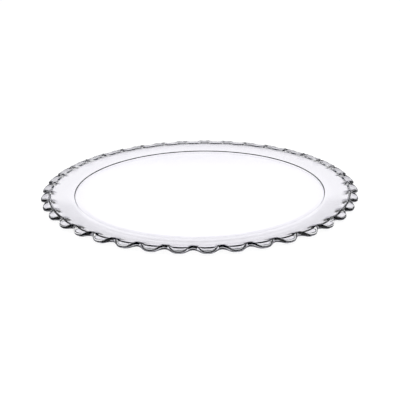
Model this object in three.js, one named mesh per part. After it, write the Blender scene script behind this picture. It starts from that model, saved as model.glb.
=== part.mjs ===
// A round cake plate pressed in one piece of clear glass: a flat well, a low step round it,
// and a wide, nearly level rim that ends in a border of petals with a ridge in each notch.
// Millimetres, +Z up, the flat base on Z = 0, a petal centred on the front (-Y).
import * as THREE from "three";

// Driving sizes of the well and the rim
const PLATE_DIAMETER = 320;
const FLOOR_THICKNESS = 3.8;
const RIM_WIDTH = 33.2;
const STEP_WIDTH = 1;
const STEP_HEIGHT = 0.8;
const RIM_RISE = 0.5;

// Driving sizes of the border
const PETAL_COUNT = 38;
const SCALLOP_DEPTH = 5;
const SWELL_WIDTH = 8;
const SWELL_RISE = 0.9;
const CLIMB_WIDTH = 1.3;
const PETAL_LENGTH = 8.7;
const BROW_RISE = 1.8;
const LEDGE_WIDTH = 1;
const LEDGE_DROP = 1.5;
const PETAL_LIP = 3.2;
const RIDGE_RISE = 2.5;
const RIDGE_LIP = 4.4;
const CREST_SHARE = 0.34;
const NOSE_DEPTH = 2.1;

// Driving sizes of the underside
const UNDERCUT_WIDTH = 36;
const UNDERCUT_RISE = 1.4;
const OVERHANG_WIDTH = 14;
const BASE_BEND = 8;

// Shape of the waves: an even wave at 2 and narrower notches above it, ridges that are rounder
// with more softness and narrower at their inner end with more taper, an oval nose at 2
const NOTCH_SHARPNESS = 3.5;
const RIDGE_SOFTNESS = 0.8;
const RIDGE_TAPER = 1.3;
const NOSE_SQUARENESS = 2.1;

// How finely the shape is divided
const COLUMNS_PER_PETAL = 8;
const STEP_PARTS = 3;
const BROW_PARTS = 3;
const NOSE_PARTS = 6;
const BEND_PARTS = 2;

// Radii and heights worked out from the driving sizes
const tipRadius = PLATE_DIAMETER / 2;
const stepTopRadius = tipRadius - RIM_WIDTH;
const floorRadius = stepTopRadius - STEP_WIDTH;
const petalRadius = tipRadius - PETAL_LENGTH;
const borderRadius = petalRadius - CLIMB_WIDTH;
const swellRadius = borderRadius - SWELL_WIDTH;
const stepTop = FLOOR_THICKNESS + STEP_HEIGHT;
const borderHeight = stepTop + RIM_RISE;
const rimSlope = RIM_RISE / (borderRadius - stepTopRadius);
const swellHeight = borderHeight - rimSlope * SWELL_WIDTH;
const browTop = borderHeight + BROW_RISE;
const petalTop = browTop - LEDGE_DROP;
const ridgeTop = petalTop + RIDGE_RISE;
const petalShoulder = tipRadius - NOSE_DEPTH;
const notchShoulder = petalShoulder - SCALLOP_DEPTH;
const crestWidth = CREST_SHARE * (notchShoulder - borderRadius);

function straight(t) {
  return t;
}

function smoothStep(t) {
  return t * t * (3 - 2 * t);
}

// The two cuts that the border runs between. In a petal the rim climbs to a brow and drops over
// a ledge; in a notch it swells first and climbs to a ridge.
const petalCut = {
  foot: new THREE.Vector2(borderRadius, borderHeight),
  brow: new THREE.Vector2(petalRadius, browTop),
  ledge: new THREE.Vector2(petalRadius + LEDGE_WIDTH, petalTop),
  shoulder: new THREE.Vector2(petalShoulder, petalTop),
  lip: PETAL_LIP,
};
const notchCut = {
  foot: new THREE.Vector2(borderRadius, borderHeight + SWELL_RISE),
  brow: new THREE.Vector2(notchShoulder - crestWidth, ridgeTop),
  ledge: new THREE.Vector2(notchShoulder - crestWidth / 2, ridgeTop),
  shoulder: new THREE.Vector2(notchShoulder, ridgeTop),
  lip: RIDGE_LIP,
};

// Adds a run of points from the last one to a new end, with its height eased along the way.
function addRun(points, end, parts, ease) {
  const start = points[points.length - 1];
  for (let i = 1; i <= parts; i += 1) {
    const t = i / parts;
    const height = THREE.MathUtils.lerp(start.y, end.y, ease(t));
    points.push(new THREE.Vector2(THREE.MathUtils.lerp(start.x, end.x, t), height));
  }
}

// Adds the rounded edge, from the shoulder on top round to the same radius below.
function addNose(points, shoulder, lip) {
  const power = 2 / NOSE_SQUARENESS;
  for (let i = 1; i <= NOSE_PARTS; i += 1) {
    const angle = (Math.PI * i) / NOSE_PARTS;
    const out = Math.abs(Math.sin(angle)) ** power;
    const up = Math.sign(Math.cos(angle)) * Math.abs(Math.cos(angle)) ** power;
    const height = shoulder.y + (lip / 2) * (up - 1);
    points.push(new THREE.Vector2(shoulder.x + NOSE_DEPTH * out, height));
  }
}

// One cut through the plate, over the well and the border, round the edge and back underneath.
// It is given back from the base upwards, so that its surface faces out.
function plateSection(cut) {
  const points = [new THREE.Vector2(0, FLOOR_THICKNESS), new THREE.Vector2(floorRadius, FLOOR_THICKNESS)];
  addRun(points, new THREE.Vector2(stepTopRadius, stepTop), STEP_PARTS, smoothStep);
  addRun(points, new THREE.Vector2(swellRadius, swellHeight), 1, straight);
  addRun(points, cut.foot, 1, straight);
  addRun(points, cut.brow, BROW_PARTS, straight);
  addRun(points, cut.ledge, 1, straight);
  addRun(points, cut.shoulder, 1, straight);
  addNose(points, cut.shoulder, cut.lip);

  const overhang = new THREE.Vector2(tipRadius - OVERHANG_WIDTH, UNDERCUT_RISE);
  const corner = new THREE.Vector2(tipRadius - UNDERCUT_WIDTH, 0);
  const bendStart = overhang.clone().sub(corner).setLength(BASE_BEND).add(corner);
  const bendEnd = new THREE.Vector2(corner.x - BASE_BEND, 0);
  const bend = new THREE.QuadraticBezierCurve(bendStart, corner, bendEnd);
  points.push(overhang, ...bend.getPoints(BEND_PARTS), new THREE.Vector2(0, 0));
  return points.reverse();
}

// How far a column is drawn in towards the notch, from 0 in a petal's middle to 1 in a notch.
function notchShare(turn) {
  return Math.abs(Math.sin((PETAL_COUNT * turn) / 2)) ** NOTCH_SHARPNESS;
}

// How far a point is lifted towards the ridge, from 0 in a petal's middle to 1 in a notch.
// The ridge is widest at the edge, where reach is 1, and narrows inwards.
function ridgeShare(turn, reach) {
  const shift = RIDGE_TAPER * (1 - reach);
  const soften = (wave) => wave / Math.hypot(wave, RIDGE_SOFTNESS);
  const low = soften(shift - 1);
  const high = soften(shift + 1);
  return (high - soften(Math.cos(PETAL_COUNT * turn) + shift)) / (high - low);
}

// Turns the petal section round the axis, then draws each column towards the notch section
// as far as the two waves along the border ask for.
function makePlate() {
  const petal = plateSection(petalCut);
  const notch = plateSection(notchCut);
  const columns = PETAL_COUNT * COLUMNS_PER_PETAL;
  const plate = new THREE.LatheGeometry(petal, columns);
  const place = plate.getAttribute("position");
  for (let column = 0; column <= columns; column += 1) {
    const turn = (2 * Math.PI * (column % columns)) / columns;
    for (let row = 0; row < petal.length; row += 1) {
      const way = (petal[row].x - borderRadius) / (petalShoulder - borderRadius);
      const lift = ridgeShare(turn, THREE.MathUtils.clamp(way, 0, 1));
      const radius = THREE.MathUtils.lerp(petal[row].x, notch[row].x, notchShare(turn));
      const height = THREE.MathUtils.lerp(petal[row].y, notch[row].y, lift);
      const index = column * petal.length + row;
      place.setXYZ(index, radius * Math.sin(turn), -radius * Math.cos(turn), height);
    }
  }
  plate.computeVertexNormals();
  return plate;
}

const clearGlass = new THREE.MeshStandardMaterial({
  color: 0xe3ecee,
  roughness: 0.05,
  metalness: 0,
  transparent: true,
  opacity: 0.4,
});

const glassPlate = new THREE.Mesh(makePlate(), clearGlass);
glassPlate.name = "glass_plate";

const cakePlate = new THREE.Group();
cakePlate.name = "cake_plate";
cakePlate.add(glassPlate);

export default cakePlate;
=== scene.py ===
"""A pressed clear-glass cake plate with a petalled border, on a white table under soft studio light.

The plate is one piece of glass. One pitch of its border is laid out as a strip, a Geometry Nodes
tree bends the strip between the petal and the notch cuts, and repeats it round the axis.
"""

import logging
import math
from dataclasses import dataclass
from enum import Enum
from typing import Any, Callable

import bpy
from mathutils import Matrix, Vector


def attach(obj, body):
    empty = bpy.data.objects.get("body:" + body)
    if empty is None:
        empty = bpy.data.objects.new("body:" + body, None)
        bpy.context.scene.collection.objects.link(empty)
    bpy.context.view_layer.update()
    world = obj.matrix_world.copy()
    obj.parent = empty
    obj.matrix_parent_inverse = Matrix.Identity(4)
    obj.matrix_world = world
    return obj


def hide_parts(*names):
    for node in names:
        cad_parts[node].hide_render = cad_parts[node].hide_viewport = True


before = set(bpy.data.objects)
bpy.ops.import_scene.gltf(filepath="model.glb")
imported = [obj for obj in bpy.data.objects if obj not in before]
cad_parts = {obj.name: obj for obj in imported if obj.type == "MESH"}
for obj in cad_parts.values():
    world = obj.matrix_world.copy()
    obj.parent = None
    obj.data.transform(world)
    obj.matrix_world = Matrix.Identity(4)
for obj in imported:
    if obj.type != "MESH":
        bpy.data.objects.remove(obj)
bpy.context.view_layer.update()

LOG = logging.getLogger("cake_plate")
MM = 0.001
HAIR_MM = 1e-6

Point = tuple[float, float]
Colour = tuple[float, float, float, float]


def linear(code: str) -> Colour:
    """Turn an sRGB hex colour into linear light.

    Args:
        code: six hex digits, red first.

    Returns:
        Red, green, blue and an alpha of 1.
    """
    shares = [int(code[i:i + 2], 16) / 255 for i in (0, 2, 4)]
    light = [s / 12.92 if s <= 0.04045 else ((s + 0.055) / 1.055) ** 2.4 for s in shares]
    return (light[0], light[1], light[2], 1.0)


def add_node(tree: bpy.types.NodeTree, kind: str, settings: dict[str, Any] | None = None,
             links: dict[int | str, Any] | None = None) -> bpy.types.Node:
    """Add a node with its settings, and give each named input a value or a link.

    Args:
        tree: the node tree that gets the node.
        kind: the node's type name.
        settings: properties of the node.
        links: input name or place, and the value or the output socket for it.

    Returns:
        The new node.
    """
    node = tree.nodes.new(kind)
    for name, value in (settings or {}).items():
        setattr(node, name, value)
    for name, value in (links or {}).items():
        if isinstance(value, bpy.types.NodeSocket):
            tree.links.new(value, node.inputs[name])
        else:
            node.inputs[name].default_value = value
    return node


def smooth_step(share: float) -> float:
    """Ease a share from 0 to 1 with level ends."""
    return share * share * (3 - 2 * share)


def straight(share: float) -> float:
    """Leave a share as it is."""
    return share


def square(share: float) -> float:
    """Ease a share from 0 to 1 with a level start."""
    return share * share


class Cut(Enum):
    """The two cuts through the border that the plate runs between."""

    PETAL = "petal"
    NOTCH = "notch"


@dataclass(frozen=True)
class PressedGlass:
    """Soda-lime glass, pressed and then fire-polished.

    The polish leaves a bright, slightly wavy skin; a long way through the glass is faintly blue-grey.
    """

    name: str = "fire_polished_soda_lime_glass"
    skin_colour: str = "ffffff"
    ior: float = 1.52
    depth_tint: str = "dde6f0"
    depth_density: float = 3.0
    ripple_mm: float = 26.0
    ripple_height_mm: float = 0.012
    ripple_detail: float = 1.0
    bloom_mm: float = 9.0
    bloom_detail: float = 3.0
    bloom_range: tuple[float, float] = (0.45, 0.75)
    bloom_roughness: float = 0.012

    def material(self) -> bpy.types.Material:
        """Make the glass.

        Returns:
            A clear, absorbing material with a faint ripple and bloom from its nodes.
        """
        glass = bpy.data.materials.new(self.name)
        glass.use_nodes = True
        tree = glass.node_tree
        tree.nodes.clear()
        place = add_node(tree, "ShaderNodeTexCoord").outputs["Object"]
        # The slow ripple that the mould and the polishing flame leave on both faces
        ripple = add_node(tree, "ShaderNodeTexNoise", None,
                          {"Vector": place, "Scale": 1 / (self.ripple_mm * MM),
                           "Detail": self.ripple_detail})
        skin = add_node(tree, "ShaderNodeBump", None,
                        {"Height": ripple.outputs["Fac"], "Strength": 1.0,
                         "Distance": self.ripple_height_mm * MM})
        # A trace of bloom, drawn far coarser than real handling marks so that it can show at all
        bloom = add_node(tree, "ShaderNodeTexNoise", None,
                         {"Vector": place, "Scale": 1 / (self.bloom_mm * MM),
                          "Detail": self.bloom_detail})
        haze = add_node(tree, "ShaderNodeMapRange", None,
                        {"Value": bloom.outputs["Fac"], "From Min": self.bloom_range[0],
                         "From Max": self.bloom_range[1], "To Min": 0.0,
                         "To Max": self.bloom_roughness})
        surface = add_node(tree, "ShaderNodeBsdfPrincipled", None,
                           {"Base Color": linear(self.skin_colour), "IOR": self.ior,
                            "Transmission Weight": 1.0, "Roughness": haze.outputs["Result"],
                            "Normal": skin.outputs["Normal"]})
        depth = add_node(tree, "ShaderNodeVolumeAbsorption", None,
                         {"Color": linear(self.depth_tint), "Density": self.depth_density})
        add_node(tree, "ShaderNodeOutputMaterial", None,
                 {"Surface": surface.outputs["BSDF"], "Volume": depth.outputs["Volume"]})
        return glass


@dataclass
class PetalPlate:
    """The whole plate: well, step, rim and border.

    Lengths are in millimetres. The parts are how finely each stretch of the section is divided, and
    the columns how finely one petal is.
    """

    tip_radius: float = 160.0
    floor_thickness: float = 3.8
    rim_width: float = 33.2
    step_width: float = 1.0
    step_height: float = 0.8
    rim_rise: float = 0.5
    petal_count: int = 38
    scallop_depth: float = 5.0
    swell_width: float = 8.0
    swell_rise: float = 0.9
    climb_width: float = 1.3
    petal_length: float = 8.7
    brow_rise: float = 1.8
    ledge_width: float = 1.0
    ledge_drop: float = 1.5
    petal_lip: float = 3.2
    ridge_rise: float = 2.5
    ridge_lip: float = 4.4
    crest_share: float = 0.34
    nose_depth: float = 2.1
    undercut_width: float = 36.0
    undercut_rise: float = 1.4
    overhang_width: float = 14.0
    overhang_bend: float = 3.0
    base_bend: float = 8.0
    notch_sharpness: float = 3.5
    ridge_softness: float = 0.8
    ridge_taper: float = 1.3
    nose_squareness: float = 2.1
    inset: float = 2.0
    rim_inset: float = 1.0
    weld: float = 0.001
    step_parts: int = 10
    swell_parts: int = 8
    climb_parts: int = 12
    ledge_parts: int = 8
    face_parts: int = 6
    nose_parts: int = 16
    lead_parts: int = 3
    overhang_parts: int = 8
    base_parts: int = 12
    columns: int = 28

    @property
    def border_radius(self) -> float:
        """Radius where the border starts to rise from the rim."""
        return self.tip_radius - self.petal_length - self.climb_width

    @property
    def edge_radius(self) -> float:
        """Radius of a petal's shoulder, where its rounded edge starts."""
        return self.tip_radius - self.nose_depth

    @property
    def petal_top(self) -> float:
        """Height of a petal's upper face."""
        brow = self.floor_thickness + self.step_height + self.rim_rise + self.brow_rise
        return brow - self.ledge_drop

    def run(self, points: list[Point], end: Point, parts: int,
            ease: Callable[[float], float] = straight) -> None:
        """Add points from the last one to an end, with the height eased on the way.

        Args:
            points: the section so far, which grows.
            end: radius and height of the last new point.
            parts: how many points to add.
            ease: how the height follows the way.
        """
        start = points[-1]
        for i in range(1, parts + 1):
            way = i / parts
            height = start[1] + ease(way) * (end[1] - start[1])
            points.append((start[0] + way * (end[0] - start[0]), height))

    def bend(self, points: list[Point], corner: Point, after: Point, length: float, parts: int) -> None:
        """Round a corner of the section between the last point and the one after the corner.

        Args:
            points: the section so far, which grows.
            corner: the corner to round.
            after: a point on the line that leaves the corner.
            length: how far from the corner the bend starts and ends.
            parts: how many parts the bend has.
        """
        middle = Vector(corner)
        start = middle + (Vector(points[-1]) - middle).normalized() * length
        end = middle + (Vector(after) - middle).normalized() * length
        self.run(points, (start.x, start.y), self.lead_parts)
        for i in range(1, parts + 1):
            t = i / parts
            spot = start * (1 - t) ** 2 + middle * (2 * t * (1 - t)) + end * t ** 2
            points.append((spot.x, spot.y))

    def nose(self, points: list[Point], lip: float) -> None:
        """Add the rounded edge below the last point.

        Args:
            points: the section so far, which grows.
            lip: thickness of the edge.
        """
        shoulder = points[-1]
        power = 2 / self.nose_squareness
        for i in range(1, self.nose_parts + 1):
            angle = math.pi * i / self.nose_parts
            out = abs(math.sin(angle)) ** power
            up = math.copysign(abs(math.cos(angle)) ** power, math.cos(angle))
            points.append((shoulder[0] + self.nose_depth * out, shoulder[1] + lip / 2 * (up - 1)))

    def section(self, cut: Cut) -> list[Point]:
        """Lay out one cut, from the middle of the well round the edge to the middle of the base.

        Args:
            cut: which of the two cuts.

        Returns:
            Radius and height of each point, as many for either cut.
        """
        step_radius = self.tip_radius - self.rim_width
        floor_radius = step_radius - self.step_width
        step_top = self.floor_thickness + self.step_height
        slope = self.rim_rise / (self.border_radius - step_radius)
        border = (self.border_radius, step_top + self.rim_rise)
        swell = (border[0] - self.swell_width, border[1] - slope * self.swell_width)
        lifted = (border[0], border[1] + self.swell_rise)
        points: list[Point] = [(0.0, self.floor_thickness)]
        points.append((floor_radius - self.inset, self.floor_thickness))
        points.append((floor_radius, self.floor_thickness))
        self.run(points, (step_radius, step_top), self.step_parts, smooth_step)
        self.run(points, (step_radius + self.rim_inset, step_top + slope * self.rim_inset), 1)
        self.run(points, swell, 1)
        if cut is Cut.PETAL:
            self.run(points, border, self.swell_parts)
            brow_radius = border[0] + self.climb_width
            self.run(points, (brow_radius, border[1] + self.brow_rise), self.climb_parts)
            self.run(points, (brow_radius + self.ledge_width, self.petal_top), self.ledge_parts)
            self.run(points, (self.edge_radius, self.petal_top), self.face_parts)
            self.nose(points, self.petal_lip)
        else:
            shoulder = self.edge_radius - self.scallop_depth
            crest = self.petal_top + self.ridge_rise
            self.run(points, lifted, self.swell_parts, square)
            flat = self.crest_share * (shoulder - border[0])
            self.run(points, (shoulder - flat, crest), self.climb_parts)
            self.run(points, (shoulder - flat / 2, crest), self.ledge_parts)
            self.run(points, (shoulder, crest), self.face_parts)
            self.nose(points, self.ridge_lip)
        overhang = (self.tip_radius - self.overhang_width, self.undercut_rise)
        corner = (self.tip_radius - self.undercut_width, 0.0)
        self.bend(points, overhang, corner, self.overhang_bend, self.overhang_parts)
        self.bend(points, corner, (0.0, 0.0), self.base_bend, self.base_parts)
        points.append((points[-1][0] - self.inset, 0.0))
        points.append((0.0, 0.0))
        return points

    def strip(self) -> bpy.types.Mesh:
        """Lay out one pitch of the plate as a flat strip that carries both cuts.

        Returns:
            A mesh whose points know their turn about the axis and their place on either cut.
        """
        petal, notch = self.section(Cut.PETAL), self.section(Cut.NOTCH)
        rows, last = len(petal), len(petal) - 1
        edge_row = next(i for i in range(rows) if petal[i][0] >= self.edge_radius - HAIR_MM)
        spots, turns, petal_spots, notch_spots = [], [], [], []
        number: dict[tuple[int, int], int] = {}
        for row in range(rows):
            way = (petal[row][0] - self.border_radius) / (self.edge_radius - self.border_radius)
            reach = 1.0 if row >= edge_row else min(max(way, 0.0), 1.0)
            for column in range(1 if row in (0, last) else self.columns + 1):
                number[row, column] = len(spots)
                turn = (2 * column / self.columns - 1) * math.pi / self.petal_count
                spots.append((turn, row * MM, 0.0))
                turns.append(turn)
                petal_spots.extend((petal[row][0] * MM, petal[row][1] * MM, reach))
                notch_spots.extend((notch[row][0] * MM, notch[row][1] * MM, reach))
        faces = []
        for column in range(self.columns):
            faces.append((number[0, 0], number[1, column], number[1, column + 1]))
            for row in range(1, last - 1):
                faces.append((number[row, column], number[row + 1, column],
                              number[row + 1, column + 1], number[row, column + 1]))
            faces.append((number[last - 1, column], number[last, 0], number[last - 1, column + 1]))
        mesh = bpy.data.meshes.new("plate_strip")
        mesh.from_pydata(spots, [], faces)
        mesh.attributes.new("turn", "FLOAT", "POINT").data.foreach_set("value", turns)
        mesh.attributes.new("petal_cut", "FLOAT_VECTOR", "POINT").data.foreach_set("vector", petal_spots)
        mesh.attributes.new("notch_cut", "FLOAT_VECTOR", "POINT").data.foreach_set("vector", notch_spots)
        return mesh

    def border_tree(self) -> bpy.types.NodeTree:
        """Make the tree that bends the strip into its waves and repeats it round the axis.

        Returns:
            A geometry node tree with inputs for the waves and the glass.
        """
        tree = bpy.data.node_groups.new("petal_border", "GeometryNodeTree")
        face = tree.interface
        face.new_socket("Strip", in_out="INPUT", socket_type="NodeSocketGeometry")
        face.new_socket("Petal Count", in_out="INPUT", socket_type="NodeSocketInt")
        for name in ("Notch Sharpness", "Ridge Softness", "Ridge Taper"):
            face.new_socket(name, in_out="INPUT", socket_type="NodeSocketFloat")
        face.new_socket("Glass", in_out="INPUT", socket_type="NodeSocketMaterial")
        face.new_socket("Plate", in_out="OUTPUT", socket_type="NodeSocketGeometry")
        given = add_node(tree, "NodeGroupInput").outputs
        turn = add_node(tree, "GeometryNodeInputNamedAttribute", {"data_type": "FLOAT"},
                        {"Name": "turn"}).outputs["Attribute"]
        petal = add_node(tree, "GeometryNodeInputNamedAttribute", {"data_type": "FLOAT_VECTOR"},
                         {"Name": "petal_cut"}).outputs["Attribute"]
        notch = add_node(tree, "GeometryNodeInputNamedAttribute", {"data_type": "FLOAT_VECTOR"},
                         {"Name": "notch_cut"}).outputs["Attribute"]
        petal = add_node(tree, "ShaderNodeSeparateXYZ", None, {0: petal}).outputs
        notch = add_node(tree, "ShaderNodeSeparateXYZ", None, {0: notch}).outputs
        phase = add_node(tree, "ShaderNodeMath", {"operation": "MULTIPLY"},
                         {0: turn, 1: given["Petal Count"]}).outputs[0]

        # How far each column is drawn in towards the notch
        half = add_node(tree, "ShaderNodeMath", {"operation": "MULTIPLY"}, {0: phase, 1: 0.5}).outputs[0]
        sine = add_node(tree, "ShaderNodeMath", {"operation": "SINE"}, {0: half}).outputs[0]
        swing = add_node(tree, "ShaderNodeMath", {"operation": "ABSOLUTE"}, {0: sine}).outputs[0]
        drawn = add_node(tree, "ShaderNodeMath", {"operation": "POWER"},
                         {0: swing, 1: given["Notch Sharpness"]}).outputs[0]

        # How far each point is lifted towards the ridge, which narrows away from the edge
        short = add_node(tree, "ShaderNodeMath", {"operation": "SUBTRACT"},
                         {0: 1.0, 1: petal["Z"]}).outputs[0]
        shift = add_node(tree, "ShaderNodeMath", {"operation": "MULTIPLY"},
                         {0: short, 1: given["Ridge Taper"]}).outputs[0]
        wave = add_node(tree, "ShaderNodeMath", {"operation": "COSINE"}, {0: phase}).outputs[0]
        softness = add_node(tree, "ShaderNodeMath", {"operation": "MULTIPLY"},
                            {0: given["Ridge Softness"], 1: given["Ridge Softness"]}).outputs[0]
        eased = []
        for level in (wave, 1.0, -1.0):
            total = add_node(tree, "ShaderNodeMath", {"operation": "ADD"}, {0: shift, 1: level}).outputs[0]
            spread = add_node(tree, "ShaderNodeMath", {"operation": "MULTIPLY_ADD"},
                              {0: total, 1: total, 2: softness}).outputs[0]
            scale = add_node(tree, "ShaderNodeMath", {"operation": "SQRT"}, {0: spread}).outputs[0]
            eased.append(add_node(tree, "ShaderNodeMath", {"operation": "DIVIDE"},
                                  {0: total, 1: scale}).outputs[0])
        lifted = add_node(tree, "ShaderNodeMapRange", {"clamp": False},
                          {"Value": eased[0], "From Min": eased[1], "From Max": eased[2]}).outputs["Result"]

        # The place of each point between the two cuts
        radius = add_node(tree, "ShaderNodeMix", {"data_type": "FLOAT", "clamp_factor": False},
                          {0: drawn, 2: petal["X"], 3: notch["X"]}).outputs[0]
        height = add_node(tree, "ShaderNodeMix", {"data_type": "FLOAT", "clamp_factor": False},
                          {0: lifted, 2: petal["Y"], 3: notch["Y"]}).outputs[0]
        across = add_node(tree, "ShaderNodeMath", {"operation": "SINE"}, {0: turn}).outputs[0]
        along = add_node(tree, "ShaderNodeMath", {"operation": "COSINE"}, {0: turn}).outputs[0]
        x = add_node(tree, "ShaderNodeMath", {"operation": "MULTIPLY"}, {0: radius, 1: across}).outputs[0]
        forward = add_node(tree, "ShaderNodeMath", {"operation": "MULTIPLY"},
                           {0: radius, 1: along}).outputs[0]
        y = add_node(tree, "ShaderNodeMath", {"operation": "MULTIPLY"}, {0: forward, 1: -1.0}).outputs[0]
        spot = add_node(tree, "ShaderNodeCombineXYZ", None, {"X": x, "Y": y, "Z": height}).outputs[0]
        pitch = add_node(tree, "GeometryNodeSetPosition", None,
                         {"Geometry": given["Strip"], "Position": spot}).outputs[0]

        # One pitch for each petal, turned about the axis and joined into one skin
        points = add_node(tree, "GeometryNodePoints", None, {"Count": given["Petal Count"]}).outputs[0]
        index = add_node(tree, "GeometryNodeInputIndex").outputs[0]
        step = add_node(tree, "ShaderNodeMath", {"operation": "DIVIDE"},
                        {0: 2 * math.pi, 1: given["Petal Count"]}).outputs[0]
        angle = add_node(tree, "ShaderNodeMath", {"operation": "MULTIPLY"}, {0: index, 1: step}).outputs[0]
        euler = add_node(tree, "ShaderNodeCombineXYZ", None, {"Z": angle}).outputs[0]
        rotation = add_node(tree, "FunctionNodeEulerToRotation", None, {0: euler}).outputs[0]
        ring = add_node(tree, "GeometryNodeInstanceOnPoints", None,
                        {"Points": points, "Instance": pitch, "Rotation": rotation}).outputs[0]
        real = add_node(tree, "GeometryNodeRealizeInstances", None, {"Geometry": ring}).outputs[0]
        joined = add_node(tree, "GeometryNodeMergeByDistance", None,
                          {"Geometry": real, "Distance": self.weld * MM}).outputs[0]
        smooth = add_node(tree, "GeometryNodeSetShadeSmooth", None,
                          {"Geometry": joined, "Shade Smooth": True}).outputs[0]
        dressed = add_node(tree, "GeometryNodeSetMaterial", None,
                           {"Geometry": smooth, "Material": given["Glass"]}).outputs[0]
        add_node(tree, "NodeGroupOutput", None, {"Plate": dressed})
        return tree

    def build(self, glass: bpy.types.Material) -> bpy.types.Object:
        """Make the plate, put the glass on it and fit it to the frame.

        Args:
            glass: the plate's material.

        Returns:
            The finished plate, which stands for the frame's own.
        """
        plate = bpy.data.objects.new("petal_plate", self.strip())
        bpy.context.scene.collection.objects.link(plate)
        waves = plate.modifiers.new("waves", "NODES")
        waves.node_group = self.border_tree()
        wanted = {"Petal Count": self.petal_count, "Notch Sharpness": self.notch_sharpness,
                  "Ridge Softness": self.ridge_softness, "Ridge Taper": self.ridge_taper, "Glass": glass}
        for socket in waves.node_group.interface.items_tree:
            if socket.in_out == "INPUT" and socket.name in wanted:
                waves[socket.identifier] = wanted[socket.name]
        bpy.context.view_layer.update()
        shaped = plate.evaluated_get(bpy.context.evaluated_depsgraph_get())
        skin = bpy.data.meshes.new_from_object(shaped)
        plate.modifiers.remove(waves)
        plate.data = skin
        skin.name = "petal_plate"
        for name in ("turn", "petal_cut", "notch_cut"):
            skin.attributes.remove(skin.attributes[name])
        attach(plate, "root")
        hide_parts("glass_plate")
        LOG.info("%s: %d faces", plate.name, len(skin.polygons))
        return plate


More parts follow.
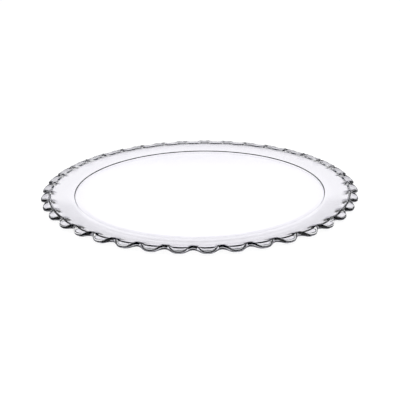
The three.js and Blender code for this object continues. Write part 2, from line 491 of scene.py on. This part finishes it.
@dataclass
class Studio:
    """A white table under a ring of soft light, with dark felt round and above it.

    Clear glass shows only what lies behind and around it. Through the glass the table is a bright
    oval pool in dark surroundings: the pool keeps the well clear, its dimmed edge under the rim is a
    painted shadow of the plate, and the dark draws the edges.
    Lengths are in metres, and heights on the ring are sines of the angle above the horizon.
    """

    table_half: float = 6.0
    table_drop: float = 0.0003
    table_colour: str = "959595"
    table_glow: float = 0.9
    glow_in_glass: float = 1.0
    # Lavender-white of the table's glow as the glass sees it: a painted shade that colours the painted
    # shadow under the rim
    painted_shade_tint: str = "f9f7ff"
    pool: tuple[float, float] = (0.125, 0.158)
    # Glow left at the pool's edge under the rim: a painted shadow of the plate, seen only in the glass
    painted_rim_shadow: float = 0.82
    pool_squeeze: float = 1.15
    pool_shift: float = 0.010
    surround: tuple[float, float] = (0.158, 0.178)
    surround_squeeze: float = 1.04
    surround_shift: float = 0.006
    surround_glow: float = 0.012
    felt: str = "1b2434"
    light: str = "ffffff"
    ring_foot: tuple[float, float] = (0.28, 0.33)
    ring_head: tuple[float, float] = (0.54, 0.62)
    ring_dip: float = 0.2
    ring_strength: float = 1.15
    lamp_watts: float = 6.0
    lamp_size: float = 0.9
    lamp_height: float = 1.2
    passes: int = 16

    def table_material(self) -> bpy.types.Material:
        """Make the white table, which the camera and the glass see glowing and which takes shadows; the
        glow seen in the glass carries a painted shadow under the rim.

        Returns:
            A matt material.
        """
        matt = bpy.data.materials.new("matt_white_table")
        matt.use_nodes = True
        tree = matt.node_tree
        tree.nodes.clear()
        ray = add_node(tree, "ShaderNodeLightPath").outputs
        place = add_node(tree, "ShaderNodeTexCoord").outputs["Object"]
        # How far a spot lies from the middle of the pool's oval, and of the surround's
        away = []
        for squeeze, shift in ((self.pool_squeeze, self.pool_shift),
                               (self.surround_squeeze, self.surround_shift)):
            oval = add_node(tree, "ShaderNodeVectorMath", {"operation": "MULTIPLY_ADD"},
                            {0: place, 1: (squeeze, 1.0, 1.0), 2: (0.0, shift, 0.0)}).outputs["Vector"]
            away.append(add_node(tree, "ShaderNodeVectorMath", {"operation": "LENGTH"},
                                 {0: oval}).outputs["Value"])
        # The glow seen in the glass falls from full in the pool to a painted shadow under the rim
        pool = add_node(tree, "ShaderNodeMapRange", None,
                        {"Value": away[0], "From Min": self.pool[0], "From Max": self.pool[1],
                         "To Min": self.glow_in_glass, "To Max": self.painted_rim_shadow}).outputs["Result"]
        around = add_node(tree, "ShaderNodeMapRange", None,
                          {"Value": away[1], "From Min": self.surround[0], "From Max": self.surround[1],
                           "To Min": 1.0, "To Max": self.surround_glow}).outputs["Result"]
        fade = add_node(tree, "ShaderNodeMath", {"operation": "MULTIPLY"}, {0: pool, 1: around}).outputs[0]
        through = add_node(tree, "ShaderNodeMath", {"operation": "MAXIMUM"},
                           {0: ray["Is Glossy Ray"], 1: ray["Is Transmission Ray"]}).outputs[0]
        in_glass = add_node(tree, "ShaderNodeMath", {"operation": "MULTIPLY"},
                            {0: through, 1: fade}).outputs[0]
        glow = add_node(tree, "ShaderNodeMath", {"operation": "MULTIPLY_ADD"},
                        {0: ray["Is Camera Ray"], 1: self.table_glow, 2: in_glass}).outputs[0]
        # The glass sees the glow in the painted lavender shade, the camera in plain white
        tint = add_node(tree, "ShaderNodeMix", {"data_type": "RGBA"},
                        {0: through, 6: linear(self.light), 7: linear(self.painted_shade_tint)}).outputs[2]
        surface = add_node(tree, "ShaderNodeBsdfPrincipled", None,
                           {"Base Color": linear(self.table_colour), "Roughness": 1.0,
                            "Specular IOR Level": 0.0, "Emission Color": tint,
                            "Emission Strength": glow})
        add_node(tree, "ShaderNodeOutputMaterial", None, {"Surface": surface.outputs["BSDF"]})
        return matt

    def table(self) -> bpy.types.Object:
        """Make the table just below the plate's base, so that the two faces don't lie in one plane.

        Returns:
            The table.
        """
        half, drop = self.table_half, -self.table_drop
        mesh = bpy.data.meshes.new("table")
        corners = [(-half, -half, drop), (half, -half, drop), (half, half, drop), (-half, half, drop)]
        mesh.from_pydata(corners, [], [(0, 1, 2, 3)])
        mesh.materials.append(self.table_material())
        top = bpy.data.objects.new("table", mesh)
        bpy.context.scene.collection.objects.link(top)
        return top

    def world(self) -> None:
        """Set the felt and the ring of light, with plain white behind everything for the camera."""
        world = bpy.data.worlds.new("studio")
        bpy.context.scene.world = world
        world.use_nodes = True
        tree = world.node_tree
        tree.nodes.clear()
        ray = add_node(tree, "ShaderNodeLightPath").outputs
        place = add_node(tree, "ShaderNodeTexCoord").outputs["Generated"]
        way = add_node(tree, "ShaderNodeSeparateXYZ", None, {0: place}).outputs
        rise = way["Z"]
        # The ring hangs lower on the side of the camera, behind the photographer
        dip = add_node(tree, "ShaderNodeMapRange", None,
                       {"Value": way["Y"], "From Min": 0.0, "From Max": -1.0,
                        "To Min": 0.0, "To Max": self.ring_dip}).outputs["Result"]
        lowered = add_node(tree, "ShaderNodeMath", {"operation": "ADD"}, {0: rise, 1: dip}).outputs[0]
        foot = add_node(tree, "ShaderNodeMapRange", None,
                        {"Value": lowered, "From Min": self.ring_foot[0], "From Max": self.ring_foot[1]})
        head = add_node(tree, "ShaderNodeMapRange", None,
                        {"Value": rise, "From Min": self.ring_head[1], "From Max": self.ring_head[0]})
        band = add_node(tree, "ShaderNodeMath", {"operation": "MULTIPLY"},
                        {0: foot.outputs["Result"], 1: head.outputs["Result"]}).outputs[0]
        ring = tuple(self.ring_strength * part for part in linear(self.light)[:3]) + (1.0,)
        around = add_node(tree, "ShaderNodeMix", {"data_type": "RGBA"},
                          {0: band, 6: linear(self.felt), 7: ring}).outputs[2]
        shown = add_node(tree, "ShaderNodeMix", {"data_type": "RGBA"},
                         {0: ray["Is Camera Ray"], 6: around, 7: linear(self.light)}).outputs[2]
        light = add_node(tree, "ShaderNodeBackground", None, {"Color": shown, "Strength": 1.0})
        add_node(tree, "ShaderNodeOutputWorld", None, {"Surface": light.outputs["Background"]})

    def lamp(self) -> bpy.types.Object:
        """Hang the soft overhead lamp that gives the table its shadow.

        Returns:
            The lamp, which the glass itself doesn't mirror.
        """
        data = bpy.data.lights.new("overhead_softbox", "AREA")
        data.size = self.lamp_size
        data.energy = self.lamp_watts
        lamp = bpy.data.objects.new("overhead_softbox", data)
        lamp.location = (0.0, 0.0, self.lamp_height)
        lamp.visible_glossy = False
        lamp.visible_transmission = False
        bpy.context.scene.collection.objects.link(lamp)
        return lamp

    def build(self) -> None:
        """Set up the table, the world and the lamp."""
        self.table()
        self.world()
        self.lamp()
        # Light runs through the border many times before it leaves the glass
        bpy.context.scene.cycles.max_bounces = self.passes
        bpy.context.scene.cycles.transmission_bounces = self.passes
        bpy.context.scene.view_settings.view_transform = "Standard"
        LOG.info("studio: table, ring of light and overhead lamp")


@dataclass
class PhotographCamera:
    """The photograph's viewpoint, found from the line round the well and the notches of the border.

    Pixels are those of the photograph, 400 across and 400 down.
    """

    sensor_mm: float = 36.0
    frame_px: float = 400.0
    focal_px: float = 1080.5
    centre_px: tuple[float, float] = (199.633, 193.991)
    distance_mm: float = 1100.5
    elevation_deg: float = 20.443
    azimuth_deg: float = -2.37
    roll_deg: float = 0.9045
    aim_mm: float = -0.3

    def build(self) -> bpy.types.Object:
        """Make the camera and look through it.

        Returns:
            The scene's camera.
        """
        tilt, turn = math.radians(self.elevation_deg), math.radians(self.azimuth_deg)
        back = Vector((math.sin(turn) * math.cos(tilt), -math.cos(turn) * math.cos(tilt), math.sin(tilt)))
        data = bpy.data.cameras.new("photograph_camera")
        data.sensor_width = self.sensor_mm
        data.lens = self.focal_px / self.frame_px * self.sensor_mm
        data.shift_x = -(self.centre_px[0] - self.frame_px / 2) / self.frame_px
        data.shift_y = (self.centre_px[1] - self.frame_px / 2) / self.frame_px
        camera = bpy.data.objects.new("photograph_camera", data)
        camera.location = Vector((0.0, 0.0, self.aim_mm * MM)) + back * self.distance_mm * MM
        level = (-back).to_track_quat("-Z", "Y").to_matrix()
        rolled = level @ Matrix.Rotation(-math.radians(self.roll_deg), 3, "Z")
        camera.rotation_mode = "QUATERNION"
        camera.rotation_quaternion = rolled.to_quaternion()
        bpy.context.scene.collection.objects.link(camera)
        bpy.context.scene.camera = camera
        LOG.info("camera: %.1f mm lens at %.0f mm", data.lens, self.distance_mm)
        return camera


def main() -> None:
    """Build the camera, the plate and the studio in order."""
    logging.basicConfig(level=logging.INFO)
    PhotographCamera().build()
    PetalPlate().build(PressedGlass().material())
    Studio().build()


if __name__ == "__main__":
    main()
